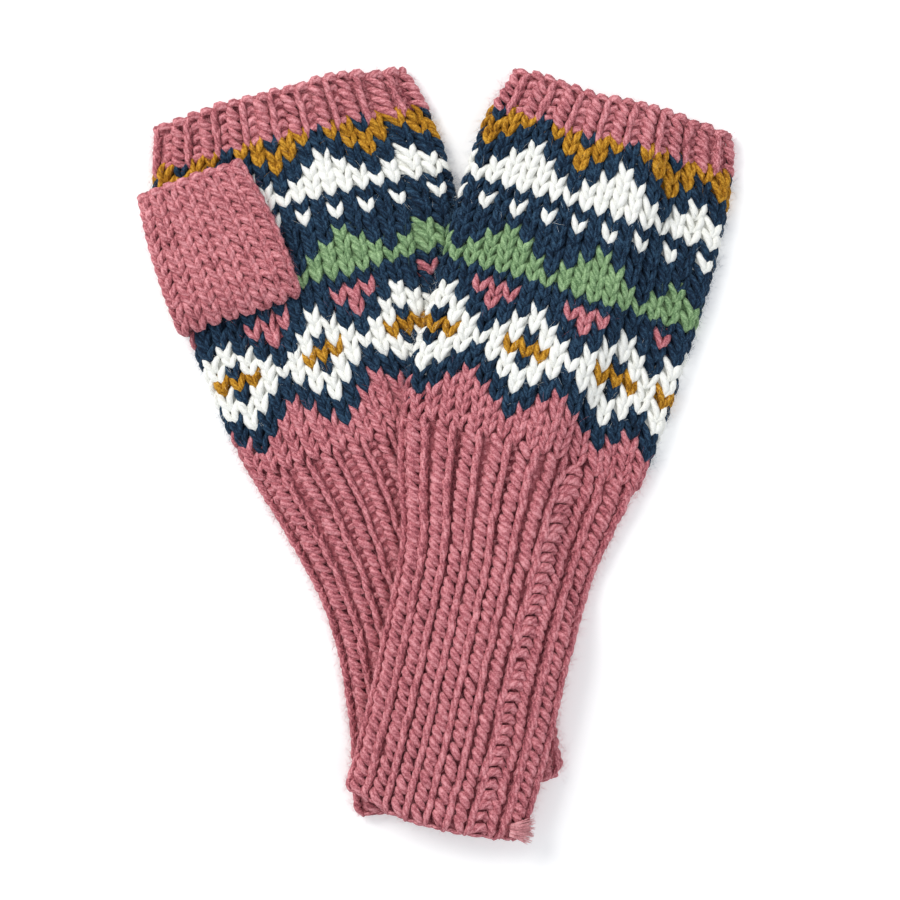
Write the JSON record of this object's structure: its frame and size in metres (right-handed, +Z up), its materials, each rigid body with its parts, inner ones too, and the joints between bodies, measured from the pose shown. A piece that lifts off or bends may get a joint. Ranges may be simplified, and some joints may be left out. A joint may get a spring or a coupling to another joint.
{
  "type": "pair of fingerless wrist warmers",
  "caption": "Pair of knitted fingerless wrist warmers laid flat and crossed at the ribbed cuffs, each with a colourwork hand and a thumb tube.",
  "frame": {"origin": "middle of the laid pair's plan, on the surface it rests on", "axes": "+Z up from the surface, +Y from the cuffs towards the hands, +X to the right seen from above"},
  "size_m": [0.223, 0.2904, 0.0167],
  "materials": {
    "pink_yarn": "matte wool, rose pink",
    "thumb_yarn": "matte wool, rose pink, lighter",
    "navy_yarn": "matte wool, dark blue"
  },
  "bodies": {
    "root": {"left_band": "pink_yarn", "left_hand": "navy_yarn", "left_thumb": "thumb_yarn", "left_cuff": "pink_yarn", "right_band": "pink_yarn", "right_hand": "navy_yarn", "right_thumb": "thumb_yarn", "right_cuff": "pink_yarn"}
  },
  "joints": []
}
